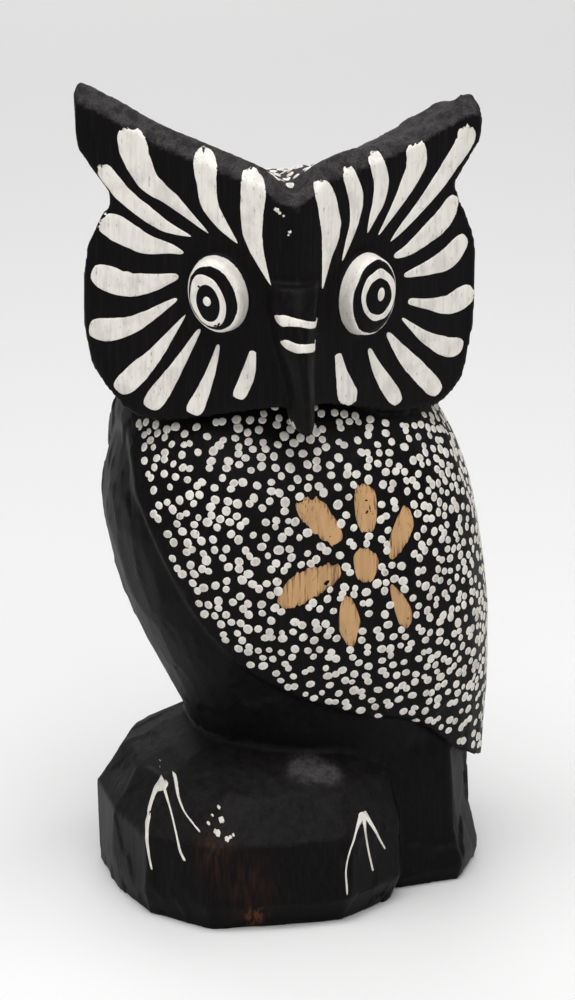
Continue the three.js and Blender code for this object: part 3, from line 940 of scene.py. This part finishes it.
class OWL_OT_eyes(bpy.types.Operator):
    """Paints each eye's rim, its ring and the dot in its pupil"""

    bl_idname = "owl.eyes"
    bl_label = "Eyes"

    def execute(self, context):
        paint = context.scene.owl_paint
        points, faces, lifts = [], [], []
        start = 0
        for eye in (LEFT_EYE, RIGHT_EYE):
            x, y, wide, tall = eye["dot"]
            angle = np.linspace(0, 2 * np.pi, 32, endpoint=False)
            share = np.array([0.02, 0.45, 0.85, 1.0])[:, None]
            u = (x + share * wide * np.cos(angle)) / (eye["width"] / 2)
            v = (y + share * tall * np.sin(angle)) / (eye["height"] / 2)
            run = eye_run(eye, np.hypot(u, v))[0]
            dot = eye_surface(eye, run, np.arctan2(v, u)).reshape(-1, 3) * MM
            dot_lift = np.repeat([1.2, 1.2, 0.9, -0.8], 32)
            for part in (
                eye_band(eye, eye["black"], None, rows=14),
                eye_band(eye, eye["pupil"], eye["ring"]),
                (dot, disc_faces(4, 32), dot_lift),
            ):
                points.append(part[0])
                faces.append(part[1] + start)
                lifts.append(part[2])
                start += len(part[0])
        lift = np.concatenate(lifts) * paint.thickness
        wood = bpy.data.objects["carving"]
        made = film("eye_paint", np.vstack(points), np.vstack(faces), lift, wood, "nearest")
        return painted(made, paint)


class OWL_OT_petals(bpy.types.Operator):
    """Scrapes the flower of bare wood out of the stain"""

    bl_idname = "owl.petals"
    bl_label = "Petals"

    def execute(self, context):
        sides = 110
        share = np.array([0.02, 0.25, 0.5, 0.75, 0.9, 0.97, 1.0])
        points, edges = [], []
        for number, corners in enumerate(PETALS):
            loop = np.array([*corners, corners[0], corners[1], corners[2]], float)
            path, length = smooth_path(np.c_[loop, np.zeros(len(loop))], 400)
            span = np.hypot(*np.diff(loop[:3], axis=0).T).sum()
            whole = np.hypot(*np.diff(path[:, :2], axis=0).T)
            run = np.r_[0, np.cumsum(whole)]
            first = np.hypot(*(path[:, :2] - loop[1]).T)[:200].argmin()
            last = 200 + np.hypot(*(path[:, :2] - loop[1]).T)[200:].argmin()
            even = np.linspace(run[first], run[last], sides, endpoint=False)
            outline = np.stack([np.interp(even, run, path[:, k]) for k in (0, 1)], 1)
            if (np.cross(outline, np.roll(outline, -1, 0))).sum() < 0:
                outline = outline[::-1]
            side = np.roll(outline, -1, 0) - np.roll(outline, 1, 0)
            endwise = np.abs(side[:, 0]) / np.linalg.norm(side, axis=1)
            probe = np.stack([outline[:, 0], np.full(sides, float(number)), 0 * outline[:, 0]], 1)
            ragged = 0.55 * lattice_noise(probe, 0.7, 60) + 0.3 * lattice_noise(probe, 0.35, 61)
            outline[:, 1] += endwise * ragged
            middle = outline.mean(0)
            rings = middle + share[:, None, None] * (outline - middle)
            points.append(in_front(rings[..., 0], rings[..., 1]))
            edges.append(np.repeat(share**3, sides))
        faces = np.vstack([disc_faces(len(share), sides) + k * sides * len(share)
                           for k in range(len(PETALS))])
        edge = np.concatenate(edges)
        lift = np.where(edge > 0.99, -0.1, 0.05) * MM
        wood = bpy.data.objects["carving"]
        made = film("petals", np.vstack(points), faces, lift, wood, marks={"edge": edge})
        dressed(made, material_named("scraped_wood", bare_wood, context.scene.owl_wood))
        return {"FINISHED"}


def dotted(points, normals):
    """Which points of the carving carry dots: the folded wings inside their edge, the back of
    the head behind the face, and the crown between the tufts."""
    x, y, z = points.T
    edge = np.interp(z, WING_EDGE_Z, WING_EDGE_X) + DOT_MARGIN * 1.15
    chin = np.interp(x, CHIN_X, CHIN_Z) - 2.6
    wing = (x > edge) & (z > WING_FOOT) & ((z < chin) | (y > NAPE_Y))
    wing &= ~((normals[:, 2] < -0.55) & (z > 112)) & (normals[:, 2] > -0.8)
    head = (y > NAPE_Y) & (z > HEAD_FOOT) & (normals[:, 1] > -0.35) & ((x > -30) | (z > 136))
    crown_half = CROWN_HALF + CROWN_SPREAD * (y - CROWN_FRONT)
    crown = (np.abs(x - CROWN_MIDDLE) < crown_half) & (y > CROWN_FRONT)
    head |= crown & (z > CROWN_FOOT) & (normals[:, 2] > 0.8)
    beak = (np.abs(x + 2) < 4.5) & (y < -38) & (z > 121)
    keep = (wing | head) & ~beak
    near_front = y < -15
    for corners in PETALS:
        clear = ~inside_polygon(x, z, corners) & (distance_to_polygon(x, z, corners) > 0.9)
        keep &= clear | ~near_front
    return keep


class OWL_OT_dots(bpy.types.Operator):
    """Dots the wings and the back of the head, with some dots run together"""

    bl_idname = "owl.dots"
    bl_label = "Dots"

    def execute(self, context):
        paint = context.scene.owl_paint
        rng = np.random.default_rng(paint.dot_seed)
        wood = bpy.data.objects["carving"]
        all_points = vertex_array(wood.data) / MM
        all_normals = normal_array(wood.data)
        able = np.flatnonzero(dotted(all_points, all_normals))
        able = rng.permutation(able)[:DOT_CHOICES]
        places = all_points[able] + rng.uniform(-0.4, 0.4, (len(able), 3))
        x, y, z = places.T
        stretched = np.stack([np.interp(x, *CROWDING_X), y, np.interp(z, *CROWDING_Z)], 1)
        picks = spaced_picks(stretched, DOT_GAP, rng)
        places, normals = places[picks], all_normals[able][picks]
        count = len(places)
        mean = paint.dot_radius / MM
        radius = np.clip(rng.normal(mean, 0.11 * mean, count), 0.75 * mean, 1.45 * mean)
        squares = (places**2).sum(1)
        gaps = squares[:, None] + squares[None, :] - 2 * places @ places.T
        np.fill_diagonal(gaps, np.inf)
        partner = gaps.argmin(1)
        rank = rng.random(count)
        joins = (rng.random(count) < PAIR_SHARE) & (rank < rank[partner])
        towards = places[partner] - places
        far = np.linalg.norm(towards, axis=1)
        touch = (radius + radius[partner]) * rng.uniform(0.72, 0.92, count)
        places = places + np.where(joins, (far - touch) / far, 0)[:, None] * towards

        side = np.cross(normals, [0, 0, 1.0])
        side /= np.linalg.norm(side, axis=1)[:, None] + 1e-9
        rise = np.cross(side, normals)
        sides = 10
        angle = np.linspace(0, 2 * np.pi, sides, endpoint=False)
        share = np.array([0.05, 0.5, 0.88, 1.04])
        wobble = 1 + 0.07 * np.cos(2 * angle + rng.uniform(0, 6.3, (count, 1)))
        wobble = wobble + 0.05 * rng.uniform(-1, 1, (count, sides))
        reach = radius[:, None, None] * share[None, :, None] * wobble[:, None, :]
        spread = (reach * np.cos(angle))[..., None] * side[:, None, None, :]
        spread = spread - (reach * np.sin(angle))[..., None] * rise[:, None, None, :]
        points = (places + 1.1 * normals)[:, None, None, :] + spread
        disc = disc_faces(len(share), sides)
        faces = (disc[None] + (np.arange(count) * sides * len(share))[:, None, None]).reshape(-1, 4)
        lift = np.tile(np.repeat([0.9, 1.15, 0.85, -0.9], sides), count) * paint.thickness
        hollow = np.repeat([1.0, 0.7, 0.0, 0.25], sides)
        thin = np.outer(0.3 + 0.7 * rng.random(count), hollow).ravel()
        made = film("dots", points.reshape(-1, 3) * MM, faces, lift, wood, "along_normal", {"thin": thin})
        return painted(made, paint)


class OWL_PT_panel(bpy.types.Panel):
    """Lists the owl's settings and pieces"""

    bl_label = "Carved Owl"
    bl_idname = "OWL_PT_panel"
    bl_space_type = "VIEW_3D"
    bl_region_type = "UI"
    bl_category = "Owl"

    def draw(self, context):
        column = self.layout.column()
        for key in GROUPS:
            group = getattr(context.scene, key)
            for name in group.bl_rna.properties.keys():
                if name not in ("rna_type", "name"):
                    column.prop(group, name)
        for operator in OPERATORS:
            column.operator(operator.bl_idname)


GROUPS = {
    "owl_stain": StainSettings,
    "owl_paint": PaintSettings,
    "owl_wood": WoodSettings,
    "owl_light": LightSettings,
}
OPERATORS = (
    OWL_OT_stage,
    OWL_OT_carving,
    OWL_OT_face_strokes,
    OWL_OT_beak_strokes,
    OWL_OT_eyes,
    OWL_OT_claws,
    OWL_OT_petals,
    OWL_OT_dots,
)
CLASSES = (*GROUPS.values(), *OPERATORS, OWL_PT_panel)


def register():
    for cls in CLASSES:
        bpy.utils.register_class(cls)
    for key, group in GROUPS.items():
        setattr(bpy.types.Scene, key, PointerProperty(type=group))


def unregister():
    for key in GROUPS:
        delattr(bpy.types.Scene, key)
    for cls in reversed(CLASSES):
        bpy.utils.unregister_class(cls)


def main():
    """Registers the add-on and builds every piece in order."""
    register()
    for operator in OPERATORS:
        group, name = operator.bl_idname.split(".")
        getattr(getattr(bpy.ops, group), name)()


if __name__ == "__main__":
    main()
